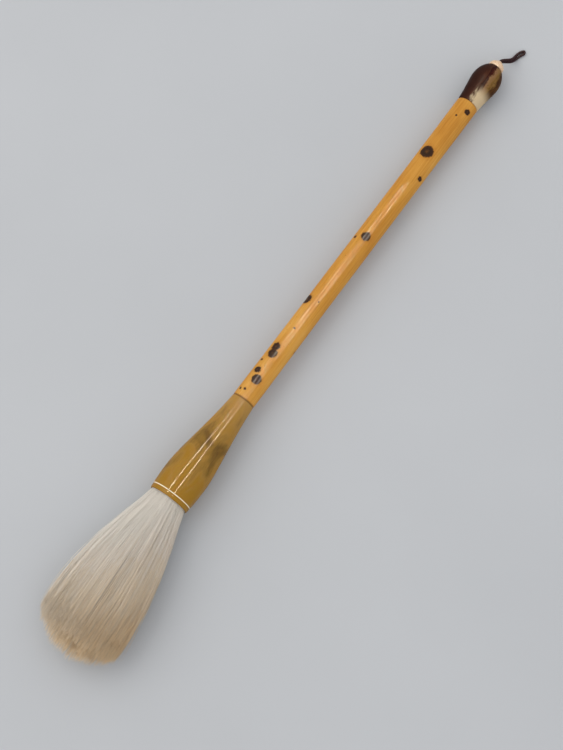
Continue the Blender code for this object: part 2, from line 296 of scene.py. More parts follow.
# %% [markdown]
# ## Dark silk
# Twisted silk, dyed nearly black with some red left in it. To the eye it is dark with a soft
# reddish sheen, and fine fibres break up its shine. Fibres are a hundredth of a millimetre thick,
# too fine to see, so they are drawn a tenth of a millimetre wide.

# %% Dyed twisted silk
def dyed_silk():
    material, tree, shader = new_material("dyed_twisted_silk", specular_ior_level=0.2,
                                          sheen_weight=0.12, sheen_roughness=0.4)
    shader.inputs["Sheen Tint"].default_value = linear("7A2A30")
    place = shaft_coordinates(tree)
    fibre = add(tree, "TexNoise", {"Vector": place, "Scale": 6.0, "Detail": 4.0, "Roughness": 0.7})
    shade = add(tree, "ValToRGB", {0: fibre.outputs[0]},
                [(0.3, "170B0D"), (0.7, "3F1A1E")])
    tree.links.new(shade.outputs[0], shader.inputs["Base Color"])
    shine = add(tree, "MapRange", {0: fibre.outputs[0], 3: 0.42, 4: 0.72})
    tree.links.new(shine.outputs[0], shader.inputs["Roughness"])
    bump = add(tree, "Bump", {"Height": fibre.outputs[0], "Strength": 0.4, "Distance": 0.05 * MM})
    tree.links.new(bump.outputs[0], shader.inputs["Normal"])
    return material


silk = dyed_silk()

# %% [markdown]
# ## Cord and knot in place
# The cord is fixed inside the finial and free outside it, but here it is one piece that rides on no
# body. The knot is a small trefoil of the same cord, hidden in the finial's recess. The cord ends
# inside the object.

# %% Cord pieces
KNOT_MIDDLE = TAIL_START - 2.3 * MM
knot_turns = np.linspace(0, math.tau, 61)[:-1]
knot_path = [SHAFT @ Vector((KNOT_MIDDLE + 1.25 * MM * math.sin(3 * a),
                             0.38 * MM * (math.sin(a) + 1.6 * math.sin(2 * a)),
                             0.38 * MM * (math.cos(a) - 1.6 * math.cos(2 * a))))
             for a in knot_turns]
knot = piece("silk_stopper_knot", sweep("knot", np.array(knot_path), 0.8 * MM, 0.8, True), [silk],
             "brush", ["stopper_knot"])
cord = piece("silk_cord_loop", sweep("cord", cord_path, CORD_DIAMETER, 0.42), [silk],
             nodes=["hanging_loop", "cord_tail_upper", "cord_tail_lower"])
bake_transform(cord)

# %% [markdown]
# ## Turning
# A lathe makes the ferrule, the finial and the cap, and bamboo grows nearly round, so all four
# are spun. The outline is one loop of edges, the outer side and the bore together, and the spin
# closes it into a solid ring. Afterwards the normals are made to point outwards.

# %% Turning helper
TURN_STEPS = 96
CREASE = math.radians(32)    # edges sharper than this stay crisp


def turned(outline):
    """A turned solid from a closed loop of (station, radius) in millimetres."""
    shape = bmesh.new()
    corners = [shape.verts.new((station * MM, 0, radius * MM)) for station, radius in outline]
    edges = [shape.edges.new((corners[i - 1], corners[i])) for i in range(len(corners))]
    bmesh.ops.spin(shape, geom=corners + edges, cent=(0, 0, 0), axis=(1, 0, 0), angle=math.tau,
                   steps=TURN_STEPS, use_merge=True, use_duplicate=False)
    bmesh.ops.remove_doubles(shape, verts=shape.verts, dist=0.001 * MM)
    bmesh.ops.recalc_face_normals(shape, faces=shape.faces)
    return shape


def finish_turned(name, shape, material, node):
    """Lay a turned shape along the shaft, keep its arrises crisp, and put it in place."""
    bmesh.ops.transform(shape, matrix=SHAFT, verts=shape.verts)
    thing = piece(name, shape, [material], "brush", [node])
    thing.data.set_sharp_from_angle(angle=CREASE)
    return thing


# %% [markdown]
# ## Horn of the ferrule
# Buffalo horn, turned and polished. It lets light a little way in, so its colour is cloudy: amber
# with olive-brown smoke across the middle, and fine growth streaks along it. The clouds are about
# a centimetre across and the streaks a few tenths of a millimetre. The narrow end, where the wall
# is thinner, is paler. Two things mark stations: a pale line painted along the groove, a painted
# highlight for the light that its ridge catches, and a dark line of glue at the handle.

# %% Polished amber horn
FERRULE_END = 47.0
GROOVE = 2.0


def amber_horn():
    material, tree, shader = new_material("polished_amber_horn", coat_weight=0.28, coat_roughness=0.03,
                                          roughness=0.45, ior=1.54, specular_ior_level=0.02,
                                          subsurface_weight=0.12, subsurface_scale=1.5 * MM)
    place = shaft_coordinates(tree)
    stretched = add(tree, "Mapping", {"Vector": place, "Scale": (0.55, 1, 1)}).outputs[0]
    cloud = add(tree, "TexNoise", {"Vector": stretched, "Scale": 0.11, "Detail": 3.0,
                                   "Roughness": 0.55, "Distortion": 0.8})
    streaks = add(tree, "Mapping", {"Vector": place, "Scale": (0.05, 1, 1)}).outputs[0]
    grain = add(tree, "TexNoise", {"Vector": streaks, "Scale": 2.2, "Detail": 5.0, "Roughness": 0.6})
    station = add(tree, "SeparateXYZ", {0: place}).outputs[0]
    smoke = add(tree, "MapRange", {0: station, 1: 10.0, 2: 20.0}, interpolation_type="SMOOTHSTEP")
    clear = add(tree, "MapRange", {0: station, 1: 22.0, 2: 34.0, 3: 1.0, 4: 0.0},
                interpolation_type="SMOOTHSTEP")
    band = add(tree, "Math", {0: smoke.outputs[0], 1: clear.outputs[0]}, operation="MULTIPLY")
    level = add(tree, "Math", {0: band.outputs[0], 1: 0.11, 2: cloud.outputs[0]},
                operation="MULTIPLY_ADD")
    fine = add(tree, "Math", {0: grain.outputs[0], 1: 0.22, 2: level.outputs[0]},
               operation="MULTIPLY_ADD")
    shade = add(tree, "ValToRGB", {0: fine.outputs[0]},
                [(0.45, "9E7214"), (0.60, "9C721E"), (0.70, "9E7630"), (0.79, "886626"),
                 (0.90, "6C4E1C")])
    # Painted highlight: a pale cream line along the groove, for the light that its ridge catches.
    off_groove = add(tree, "Math", {0: station, 1: GROOVE}, operation="SUBTRACT")
    near = add(tree, "Math", {0: off_groove.outputs[0]}, operation="ABSOLUTE")
    groove_highlight = add(tree, "MapRange", {0: near.outputs[0], 1: 0.10, 2: 0.26, 3: 1.0, 4: 0.0})
    narrow = add(tree, "MapRange", {0: station, 1: 26.0, 2: 44.0, 3: 0.0, 4: 0.45})
    bleached = add(tree, "Mix", {0: narrow.outputs[0], 6: shade.outputs[0], 7: linear("B88E50")},
                   data_type="RGBA")
    groove_highlighted = add(tree, "Mix", {0: groove_highlight.outputs[0], 6: bleached.outputs[2], 7: linear("FBF0DA")},
                 data_type="RGBA")
    glue = add(tree, "MapRange", {0: station, 1: FERRULE_END - 0.35, 2: FERRULE_END, 3: 0.0, 4: 0.75})
    joined = add(tree, "Mix", {0: glue.outputs[0], 6: groove_highlighted.outputs[2], 7: linear("5A3A18")},
                 data_type="RGBA")
    tree.links.new(joined.outputs[2], shader.inputs["Base Color"])
    bump = add(tree, "Bump", {"Height": grain.outputs[0], "Strength": 0.10, "Distance": 0.05 * MM})
    tree.links.new(bump.outputs[0], shader.inputs["Normal"])
    return material


# %% [markdown]
# ## The ferrule
# A vase: full belly near the mouth, then a long taper to the handle's width. A fine groove runs
# round it two millimetres from the mouth. Inside are the bowl that holds the hair, and the bore
# for the peg that joins it to the handle. The outer curve is read smoothly from a few points, and
# the groove and the lip are added as points of their own, so that they stay crisp.

# %% Ferrule
def ferrule():
    lip = [(0.0, 7.85), (0.08, 8.05), (0.28, 8.18), (1.0, 8.27), (1.70, 8.32), (1.82, 8.28)]
    groove = [(1.92, 8.10), (2.0, 8.06), (2.08, 8.10), (2.18, 8.30), (2.30, 8.38)]
    belly = smooth_line([(2.5, 8.40), (4.5, 8.55), (7.0, 8.66), (10.0, 8.70), (14.0, 8.58),
                         (18.5, 8.10), (23.5, 7.40), (29.0, 6.60), (35.0, 5.80), (41.0, 5.10),
                         (46.9, 4.62)], 0.9)
    end = [(47.08, 4.50), (47.12, 4.30), (47.12, 2.5)]
    bore = [(31.7, 2.5), (31.7, 0.3), (18.0, 0.3), (18.0, 7.2), (12.0, 7.8), (0.6, 7.8), (0.2, 7.75)]
    return turned([*lip, *groove, *(tuple(p) for p in belly), *end, *bore])


horn_ferrule = finish_turned("turned_horn_ferrule", ferrule(), amber_horn(),
                             "horn_ferrule")

# %% [markdown]
# ## Spotted bamboo
# This bamboo is prized for the brown spots that a fungus leaves on its skin while it grows. They
# are round, with wavy edges, and some have a paler middle like a ring. The skin between them is
# golden with long fibres, browner in places, under a coat of clear varnish. Each spot has its
# place by station and angle. The distance to the nearest spot, over that spot's radius, goes
# through one ramp, so that all spots share an edge and a paler heart.

# %% Varnished spotted bamboo
CULM_RADIUS = 4.6
SPOTS = [  # station in mm, degrees from the top towards the right-hand side, radius in mm
    (172, -13, 2.7), (196, 32, 1.2), (192, -3, 0.45), (161, 47, 1.0), (128, 3, 1.9),
    (126, -50, 0.6), (94, -58, 2.2), (81, -7, 0.45), (95, 12, 0.4), (71, -26, 1.7),
    (68, -18, 1.9), (64, -50, 0.5), (59.5, -30, 1.35), (56, -2, 2.0), (50, -45, 0.45),
    (50.5, -20, 0.5), (145, 140, 1.9), (106, 150, 1.4), (83, 115, 1.7), (180, -140, 1.8),
    (62, 150, 1.6), (118, -110, 1.2), (152, -95, 0.6), (74, 88, 0.5), (186, 120, 0.9),
]


def unrolled(tree, place, radius):
    """Station and distance round a shaft of this radius, both in millimetres."""
    parts = add(tree, "SeparateXYZ", {0: place}).outputs
    left = add(tree, "Math", {0: parts[1], 1: -1.0}, operation="MULTIPLY")
    angle = add(tree, "Math", {0: left.outputs[0], 1: parts[2]}, operation="ARCTAN2")
    arc = add(tree, "Math", {0: angle.outputs[0], 1: radius}, operation="MULTIPLY")
    return add(tree, "CombineXYZ", {0: parts[0], 1: arc.outputs[0]}).outputs[0], parts[0]


def nearest_spot(tree, flat):
    """Distance to the nearest spot, as a share of that spot's radius."""
    wave = add(tree, "TexNoise", {"Vector": flat, "Scale": 0.9, "Detail": 3.0, "Roughness": 0.6})
    centred = add(tree, "VectorMath", {0: wave.outputs[1], 1: (0.5, 0.5, 0.5)}, operation="SUBTRACT")
    shift = add(tree, "VectorMath", {0: centred.outputs[0], "Scale": 1.5}, operation="SCALE")
    moved = add(tree, "VectorMath", {0: flat, 1: shift.outputs[0]}, operation="ADD")
    flat_only = add(tree, "VectorMath", {0: moved.outputs[0], 1: (1, 1, 0)}, operation="MULTIPLY")
    nearest = None
    for station, degrees, radius in SPOTS:
        middle = (station, math.radians(degrees) * CULM_RADIUS, 0)
        gap = add(tree, "VectorMath", {0: flat_only.outputs[0], 1: middle}, operation="DISTANCE")
        share = add(tree, "Math", {0: gap.outputs["Value"], 1: radius}, operation="DIVIDE")
        if nearest is None:
            nearest = share.outputs[0]
        else:
            nearest = add(tree, "Math", {0: nearest, 1: share.outputs[0]},
                          operation="MINIMUM").outputs[0]
    return nearest


def spotted_bamboo():
    material, tree, shader = new_material("varnished_spotted_bamboo", coat_weight=0.3,
                                          coat_roughness=0.03, roughness=0.5,
                                          specular_ior_level=0.02)
    place = shaft_coordinates(tree)
    flat, station = unrolled(tree, place, CULM_RADIUS)
    long_way = add(tree, "Mapping", {"Vector": place, "Scale": (0.035, 1, 1)}).outputs[0]
    fibre = add(tree, "TexNoise", {"Vector": long_way, "Scale": 1.6, "Detail": 6.0, "Roughness": 0.62})
    tan = add(tree, "TexNoise", {"Vector": add(tree, "Mapping", {"Vector": place,
              "Scale": (0.25, 1, 1)}).outputs[0], "Scale": 0.16, "Detail": 3.0})
    mix = add(tree, "Math", {0: tan.outputs[0], 1: 0.55}, operation="MULTIPLY")
    tone = add(tree, "Math", {0: fibre.outputs[0], 1: 0.45, 2: mix.outputs[0]},
               operation="MULTIPLY_ADD")
    skin = add(tree, "ValToRGB", {0: tone.outputs[0]},
               [(0.34, "B47624"), (0.46, "C58933"), (0.56, "D0963F"), (0.68, "DCA755")])
    fleck = add(tree, "TexNoise", {"Vector": flat, "Scale": 0.85, "Detail": 2.0, "Roughness": 0.5})
    speck = add(tree, "MapRange", {0: fleck.outputs[0], 1: 0.70, 2: 0.74, 3: 0.0, 4: 0.45})
    skinned = add(tree, "Mix", {0: speck.outputs[0], 6: skin.outputs[0], 7: linear("7A4315")},
                  data_type="RGBA")
    near = nearest_spot(tree, flat)
    heart = add(tree, "TexNoise", {"Vector": flat, "Scale": 2.6, "Detail": 2.0})
    heart_near = add(tree, "Math", {0: heart.outputs[0], 1: 0.35, 2: near}, operation="MULTIPLY_ADD")
    brown = add(tree, "ValToRGB", {0: heart_near.outputs[0]},
                [(0.15, "5E3A14"), (0.42, "40240A"), (0.68, "2C1804"), (1.0, "3A1F07")])
    inside = add(tree, "MapRange", {0: near, 1: 0.93, 2: 1.12, 3: 1.0, 4: 0.0})
    halo = add(tree, "MapRange", {0: near, 1: 1.0, 2: 1.6, 3: 0.35, 4: 0.0})
    haloed = add(tree, "Mix", {0: halo.outputs[0], 6: skinned.outputs[2], 7: linear("A8621F")},
                 data_type="RGBA")
    spotted = add(tree, "Mix", {0: inside.outputs[0], 6: haloed.outputs[2], 7: brown.outputs[0]},
                  data_type="RGBA")
    low = add(tree, "MapRange", {0: station, 1: 47.3, 2: 47.75, 3: 0.7, 4: 0.0})
    high = add(tree, "MapRange", {0: station, 1: 200.0, 2: 200.4, 3: 0.0, 4: 0.6})
    ends = add(tree, "Math", {0: low.outputs[0], 1: high.outputs[0]}, operation="MAXIMUM")
    ended = add(tree, "Mix", {0: ends.outputs[0], 6: spotted.outputs[2], 7: linear("7A4A1C")},
                data_type="RGBA")
    tree.links.new(ended.outputs[2], shader.inputs["Base Color"])
    bump = add(tree, "Bump", {"Height": fibre.outputs[0], "Strength": 0.12, "Distance": 0.06 * MM})
    tree.links.new(bump.outputs[0], shader.inputs["Normal"])
    return material


# %% [markdown]
# ## The handle
# One length of bamboo between two nodes, hollow all the way. It narrows by a tenth of a
# millimetre in its middle, and like anything that grew it is never quite round or straight, so
# its skin moves in and out by a few hundredths of a millimetre along gentle waves.

# %% Handle
UNEVENNESS = 0.05            # mm


def culm():
    outer = smooth_line([(47.6, 4.62), (60, 4.60), (98, 4.50), (150, 4.50), (188, 4.58),
                         (200.2, 4.62)], 2.4)
    start = [(47.16, 2.5), (47.16, 4.42), (47.24, 4.54)]
    end = [(200.42, 4.55), (200.48, 4.42), (200.48, 2.5)]
    shape = turned([*start, *(tuple(p) for p in outer), *end])
    for corner in shape.verts:
        radial = Vector((0, corner.co.y, corner.co.z))
        if radial.length > 4.3 * MM and 48 * MM < corner.co.x < 199.5 * MM:
            wave = noise.noise(Vector((corner.co.x / (22 * MM), corner.co.y / (5 * MM),
                                       corner.co.z / (5 * MM))))
            corner.co += radial.normalized() * wave * UNEVENNESS * MM
    return shape


bamboo = finish_turned("bamboo_culm", culm(), spotted_bamboo(), "bamboo_handle")

# %% [markdown]
# ## Horn of the finial
# Darker buffalo horn. One side is brown-black, a dark red streak runs up the middle, the other
# side is a lighter, smoky brown, and near the handle a pale cream cloud comes through on that
# side. The side and the station choose the colour, and noise makes their borders wander.

# %% Polished dark horn
FINIAL_BASE = 200.6


def dark_horn():
    material, tree, shader = new_material("polished_dark_horn", coat_weight=0.06, coat_roughness=0.3,
                                          roughness=0.4, ior=1.54, specular_ior_level=0.02)
    place = shaft_coordinates(tree)
    parts = add(tree, "SeparateXYZ", {0: place}).outputs
    streaked = add(tree, "Mapping", {"Vector": place, "Scale": (0.35, 1, 1)}).outputs[0]
    smoke = add(tree, "TexNoise", {"Vector": streaked, "Scale": 0.42, "Detail": 4.0,
                                   "Roughness": 0.6, "Distortion": 0.6})
    wander = add(tree, "MapRange", {0: smoke.outputs[0], 1: 0.25, 2: 0.75, 3: -1.6, 4: 1.6})
    side = add(tree, "Math", {0: parts[1], 1: wander.outputs[0]}, operation="ADD")
    across = add(tree, "MapRange", {0: side.outputs[0], 1: -6.0, 2: 4.0})
    shade = add(tree, "ValToRGB", {0: across.outputs[0]},
                [(0.0, "5A3A18"), (0.12, "3E210C"), (0.24, "7E5E30"), (0.38, "866444"),
                 (0.46, "42170C"), (0.53, "2A0C07"), (0.60, "4A281A"), (0.70, "3A1E14"),
                 (1.0, "2E170F")])
    rise = add(tree, "MapRange", {0: parts[0], 1: FINIAL_BASE + 3.5, 2: FINIAL_BASE + 9.0,
                                  3: 1.0, 4: 0.0}, interpolation_type="SMOOTHSTEP")
    right = add(tree, "MapRange", {0: side.outputs[0], 1: -1.3, 2: -0.1, 3: 1.0, 4: 0.0})
    cloud = add(tree, "Math", {0: rise.outputs[0], 1: right.outputs[0]}, operation="MULTIPLY")
    clouded = add(tree, "Mix", {0: cloud.outputs[0], 6: shade.outputs[0], 7: linear("CBB591")},
                  data_type="RGBA")
    dots = add(tree, "TexNoise", {"Vector": place, "Scale": 0.9, "Detail": 1.0})
    dotted = add(tree, "MapRange", {0: dots.outputs[0], 1: 0.66, 2: 0.72, 3: 0.0, 4: 0.6})
    marked = add(tree, "Mix", {0: dotted.outputs[0], 6: clouded.outputs[2], 7: linear("2A130C")},
                 data_type="RGBA")
    tree.links.new(marked.outputs[2], shader.inputs["Base Color"])
    bump = add(tree, "Bump", {"Height": smoke.outputs[0], "Strength": 0.08, "Distance": 0.1 * MM})
    tree.links.new(bump.outputs[0], shader.inputs["Normal"])
    return material


# %% [markdown]
# ## The finial
# A bulb that swells from the handle's width and closes over a shoulder. A spigot holds it in the
# handle's bore, and it is drilled for the cord, wider where the knot sits.

# %% Finial
def finial():
    base = FINIAL_BASE
    spigot = [(base - 9.0, 1.8), (base - 9.0, 2.1), (base - 8.8, 2.2), (base - 0.06, 2.2)]
    skirt = [(base - 0.06, 4.35), (base + 0.02, 4.52)]
    bulb = smooth_line([(base + 0.25, 4.63), (base + 4.0, 5.0), (base + 8.0, 5.55),
                        (base + 12.2, 6.1), (base + 14.8, 5.95), (base + 17.0, 5.35),
                        (base + 18.8, 4.40), (base + 19.9, 3.45), (base + 20.1, 3.1)], 0.5)
    hole = [(base + 20.1, 1.3), (base - 3.5, 1.3), (base - 4.0, 1.8)]
    return turned([*spigot, *skirt, *(tuple(p) for p in bulb), *hole])


horn_finial = finish_turned("turned_horn_finial", finial(), dark_horn(), "horn_finial")

# %% [markdown]
# ## The bone cap
# A low dome of polished bone, cream with a little pink, on the end of the finial. Bone has fine
# long pores, a tenth of a millimetre wide, drawn here twice as wide so that they show.

# %% Polished bone
def polished_bone():
    material, tree, shader = new_material("polished_bone", coat_weight=0.3, coat_roughness=0.15,
                                          ior=1.5)
    place = shaft_coordinates(tree)
    pores = add(tree, "TexNoise", {"Vector": add(tree, "Mapping", {"Vector": place,
                "Scale": (0.3, 1, 1)}).outputs[0], "Scale": 4.0, "Detail": 4.0, "Roughness": 0.6})
    shade = add(tree, "ValToRGB", {0: pores.outputs[0]},
                [(0.28, "BE8F68"), (0.42, "DDB68F"), (0.6, "EBCBA8"), (0.8, "F3DCC0")])
    tree.links.new(shade.outputs[0], shader.inputs["Base Color"])
    shine = add(tree, "MapRange", {0: pores.outputs[0], 3: 0.5, 4: 0.3})
    tree.links.new(shine.outputs[0], shader.inputs["Roughness"])
    bump = add(tree, "Bump", {"Height": pores.outputs[0], "Strength": 0.15, "Distance": 0.05 * MM})
    tree.links.new(bump.outputs[0], shader.inputs["Normal"])
    return material


def bone_cap():
    start = 220.74
    foot = [(start, 1.3), (start, 3.10), (start + 0.08, 3.24), (start + 0.25, 3.30),
            (start + 0.75, 3.30)]
    dome = [(start + 0.75 + 2.75 * math.sin(math.radians(a)),
             3.30 * math.cos(math.radians(a))) for a in range(8, 57, 6)]
    hole = [(start + 3.30, 1.62), (start + 3.50, 1.45), (start + 3.50, 1.30), (start + 1.2, 1.25)]
    return turned([*foot, *dome, *hole])


bone = finish_turned("bone_cap", bone_cap(), polished_bone(), "bone_button")

# %% [markdown]
# ## The shape of the hair
# The hair is goat: long, fine and nearly white, browner towards the tips. It leaves the ferrule
# as a tight round bundle, spreads into a fan, and ends in a blunt rounded edge. It lies on the
# table, so the fan is wider than it is high, and it leans a little to one side. A hair holds
# its place in the bundle all the way, so a place is two numbers, across and up, each from -1 to 1.

# %% Bundle shape
FAN_REACH = np.array([-20, -12, -8, 0, 6, 16, 27, 39, 50, 58, 64, 72]) * MM
FAN_WIDTH = np.array([5.9, 5.9, 7.1, 7.3, 8.9, 12.0, 14.7, 16.6, 17.2, 17.2, 16.8, 16.2]) * MM
FAN_HEIGHT = np.array([5.9, 5.9, 7.1, 7.3, 7.9, 9.1, 9.9, 10.2, 10.2, 9.9, 9.3, 8.4]) * MM
LEAN = 0.053                 # sideways, for each unit forward
SETTLED = 45 * MM            # from here on the hair rests on the board
RESTING_HEIGHT = 10.6 * MM
THINNEST_HEIGHT = 0.12 * MM  # no hair lies lower than this


def bundle(reach, across, up):
    """World places of hairs at a distance in front of the mouth. All three are numpy arrays."""
    settle = np.clip(reach / SETTLED, 0, 1)
    settle = settle * settle * (3 - 2 * settle)
    middle = (1 - settle) * MOUTH.z + settle * RESTING_HEIGHT
    middle = middle - np.minimum(reach, 0) * ALONG.z
    outward = np.maximum(reach, 0)
    wide = np.interp(reach, FAN_REACH, FAN_WIDTH)
    high = np.interp(reach, FAN_REACH, FAN_HEIGHT)
    side = across * wide - LEAN * outward
    return np.stack([MOUTH.x - reach, side, np.maximum(middle + up * high, THINNEST_HEIGHT)], -1)


print("at 50 mm the bundle spans", bundle(np.array([.05, .05]), np.array([-1, 1]), np.zeros(2))[:, 1])

# %% [markdown]
# ## One hair
# Every hair is a copy of one small template: a three-sided cone with cuts along it, so that it
# can bend. It has few faces, because there are thousands of copies. The copies are placed by
# arithmetic on all their points at once, which is much faster than one object each.

# %% Hair template
HAIR_CUTS = 10


def hair_template():
    """Points of a hair of length 1 along X with radius 1, and its faces as lists of corners."""
    shape = bmesh.new()
    bmesh.ops.create_cone(shape, cap_ends=True, segments=3, radius1=1, radius2=1, depth=1)
    bmesh.ops.translate(shape, verts=shape.verts, vec=(0, 0, 0.5))
    bmesh.ops.rotate(shape, verts=shape.verts, cent=(0, 0, 0),
                     matrix=Matrix.Rotation(math.pi / 2, 3, "Y"))
    for cut in range(1, HAIR_CUTS):
        geometry = [*shape.verts, *shape.edges, *shape.faces]
        bmesh.ops.bisect_plane(shape, geom=geometry, plane_co=(cut / HAIR_CUTS, 0, 0),
                               plane_no=(1, 0, 0))
    bmesh.ops.recalc_face_normals(shape, faces=shape.faces)
    shape.verts.index_update()
    points = np.array([corner.co for corner in shape.verts])
    faces = [[corner.index for corner in face.verts] for face in shape.faces]
    shape.free()
    return points, faces


HAIR_POINTS, HAIR_FACES = hair_template()
FACE_PLACE = np.array([np.mean([HAIR_POINTS[i][0] for i in face]) for face in HAIR_FACES])
print("one hair has", len(HAIR_POINTS), "points and", len(HAIR_FACES), "faces")

# %% [markdown]
# ## Tufts within the hair
# Hairs that were combed together cling to each other and part from their neighbours, more so
# towards the tips. Each hair belongs to a lock: it drifts towards the lock's middle as it goes,
# shares the lock's slow waves, and has small waves of its own. That draws the fine furrows.

# %% Locks and hairs
LOCKS = 1500
HAIR_RADIUS = 0.065 * MM     # a goat hair is half this; drawn coarser so that it shows
COMBED = 65 * MM             # clinging and waves grow over this distance
CLING = 0.12                 # how far a hair drifts towards its lock, from 0 to 1
SHARED_WAVE = 0.007          # size of the waves a lock shares
dice = np.random.default_rng(11)
lock_angle = dice.uniform(0, math.tau, LOCKS)
lock_depth = np.sqrt(dice.uniform(0.45, 1.0, LOCKS))
LOCK_PLACE = np.stack([lock_depth * np.cos(lock_angle), lock_depth * np.sin(lock_angle)], 1)
LOCK_WAVES = dice.normal(0, 1, (LOCKS, 4))
LOCK_PHASE = dice.uniform(0, math.tau, (LOCKS, 4))
LOCK_TONE = dice.normal(0, 1, LOCKS)
LOCK_REACH = dice.normal(0, 1, LOCKS)


def comb(place, lock, root, tip, radius, wildness):
    """Points of many hairs: place in the bundle, lock, root and tip distance, thickness."""
    count = len(place)
    reach = root[:, None] + (tip - root)[:, None] * HAIR_POINTS[None, :, 0]
    out = np.clip(reach / COMBED, 0, 1.1)
    cling = CLING * out**1.5
    across = place[:, :1] * (1 - cling) + LOCK_PLACE[lock, :1] * cling
    up = place[:, 1:] * (1 - cling) + LOCK_PLACE[lock, 1:] * cling
    wave = [LOCK_WAVES[lock, k, None] * np.sin(LOCK_PHASE[lock, k, None] + (2.2 + 1.7 * k) * out)
            for k in range(4)]
    own = dice.normal(0, 1, (count, 4))
    phase = dice.uniform(0, math.tau, (count, 4))
    stray = [own[:, k, None] * np.sin(phase[:, k, None] + (1.4 + 1.2 * (k % 2)) * out)
             for k in range(4)]
    shared = SHARED_WAVE * out
    loose = wildness[:, None] * out**1.4
    across = across + shared * (wave[0] + wave[1]) + loose * (stray[0] + stray[1])
    up = up + shared * (wave[2] + wave[3]) + loose * (stray[2] + stray[3])
    middle = bundle(reach, across, up)
    along = HAIR_POINTS[:, 0]
    taper = 1 - 0.72 * np.clip((along - 0.72) / 0.28, 0, 1) ** 1.3
    thick = radius[:, None] * taper[None, :]
    middle[..., 1] += HAIR_POINTS[None, :, 1] * thick
    middle[..., 2] += HAIR_POINTS[None, :, 2] * thick
    return middle


# %% [markdown]
# ## The colour of goat hair
# Goat hair is a nearly white, slightly glossy fibre. It yellows from root to tip, and no two
# hairs are quite the same. Each hair takes one of a few tones, and changes from one to the next
# of a few bands of colour along its length, at a distance of its own, so that no edge shows.
# Fine scales on the hair spread its shine, so it is only a little glossy.

# %% Combed goat hair
BAND_COLOURS = ["F0EADF", "EEE4D6", "EADBC4", "EDDABE", "F0D6AF"]
BAND_EDGES = np.array([15, 29, 42, 54]) * MM
TONES = [0.82, 0.93, 1.0, 1.05]
DARK_HAIR = "A58E6E"


def goat_hair(name, code, tone):
    material, tree, shader = new_material(name, roughness=0.5, ior=1.55, specular_ior_level=0.15,
                                          sheen_weight=0.1, sheen_roughness=0.4)
    shader.inputs["Base Color"].default_value = [min(c, 0.93) for c in linear(code, tone)[:3]] + [1]
    return material


hair_materials = [goat_hair("combed_goat_hair_%d_%d" % (band, tone), code,
                            1 + (share - 1) * (0.5 + 0.26 * band))
                  for band, code in enumerate(BAND_COLOURS) for tone, share in enumerate(TONES)]
hair_materials.append(goat_hair("brown_goat_hair", DARK_HAIR, 1.0))
print(len(hair_materials), "tones of hair")

# %% [markdown]
# ## The inside of the hair
# Under the hairs that show lies a solid core in the same shape, a little smaller, so that no
# light passes through the bundle. It is an extruded ring, widened and moved at each step like
# the bundle, and furrowed by a bump along the hair, with painted shade darkening the furrows.

# %% Hair core
CORE_SHARE = 0.86
CORE_STATIONS = np.array([-15.2, -12, -9, -8, -4, 0, 3, 6, 11, 16, 22, 27, 33, 39, 45, 50, 54, 57,
                          59.5, 61, 62]) * MM
CORE_SIDES = 64
LIE_SCALE = 15              # mm from the middle of the bundle to its skin, for the furrows


def matted_hair():
    material, tree, shader = new_material("matted_goat_hair", roughness=0.7)
    lie = add(tree, "Attribute", attribute_name="lie").outputs["Vector"]
    stretched = add(tree, "Mapping", {"Vector": lie, "Scale": (0.02, 1, 1)}).outputs[0]
    streaks = add(tree, "TexNoise", {"Vector": stretched, "Scale": 2.4, "Detail": 4.0,
                                     "Roughness": 0.7})
    reach = add(tree, "SeparateXYZ", {0: lie}).outputs[0]
    age = add(tree, "MapRange", {0: reach, 1: 0.0, 2: 65.0})
    yellow = add(tree, "ValToRGB", {0: age.outputs[0]},
                 [(0.0, "EDE7DC"), (0.5, "E0D2BC"), (1.0, "CDB592")])
    # Painted shade: where the bump is low, in the furrows, the colour is mixed towards a darker brown.
    furrow_shade = add(tree, "MapRange", {0: streaks.outputs[0], 1: 0.3, 2: 0.65, 3: 0.35, 4: 0.0})
    shade = add(tree, "Mix", {0: furrow_shade.outputs[0], 6: yellow.outputs[0], 7: linear("A8906E")},
                data_type="RGBA")
    tree.links.new(shade.outputs[2], shader.inputs["Base Color"])
    bump = add(tree, "Bump", {"Height": streaks.outputs[0], "Strength": 0.6, "Distance": 0.3 * MM})
    tree.links.new(bump.outputs[0], shader.inputs["Normal"])
    return material


def hair_core():
    """The core as a bmesh ring extruded from station to station, and closed at both ends."""
    shape = bmesh.new()
    layer = shape.verts.layers.float_vector.new("lie")
    ring = bmesh.ops.create_circle(shape, cap_ends=False, segments=CORE_SIDES, radius=1)["verts"]
    rim = list(shape.edges)
    for corner in ring:
        corner[layer] = (0, corner.co.x * LIE_SCALE, corner.co.y * LIE_SCALE)
    for index, station in enumerate(CORE_STATIONS):
        if index:
            made = bmesh.ops.extrude_edge_only(shape, edges=rim)["geom"]
            rim = [thing for thing in made
                   if isinstance(thing, bmesh.types.BMEdge) and thing.is_boundary]
            ring = [thing for thing in made if isinstance(thing, bmesh.types.BMVert)]
        past = max(0.0, (station - 50 * MM) / (12.4 * MM))
        share = CORE_SHARE * math.sqrt(1 - past**2) / LIE_SCALE
        lie = np.array([corner[layer] for corner in ring])
        world = bundle(np.full(len(ring), station), lie[:, 1] * share, lie[:, 2] * share)
        for corner, place in zip(ring, world):
            corner.co = place
            corner[layer] = (station / MM, corner[layer].y, corner[layer].z)
    bmesh.ops.holes_fill(shape, edges=[edge for edge in shape.edges if edge.is_boundary])
    bmesh.ops.recalc_face_normals(shape, faces=shape.faces)
    return shape


HAIR_NODES = ["core_hair", "cover_hair", "core_hair_root", "cover_hair_root"]
core = piece("goat_hair_core", hair_core(), [matted_hair()], nodes=HAIR_NODES)
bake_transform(core)

# %% [markdown]
# ## The hairs that show
# Most hairs lie in the outer shell of the bundle, from inside the ferrule to the tip, and are
# spread evenly round it. Shorter ones fill the inside near the end, where the core stops, so
# that the edge is a soft brush and not a wall. Hairs in the middle reach furthest, which rounds
# the end. A few strays wander off.

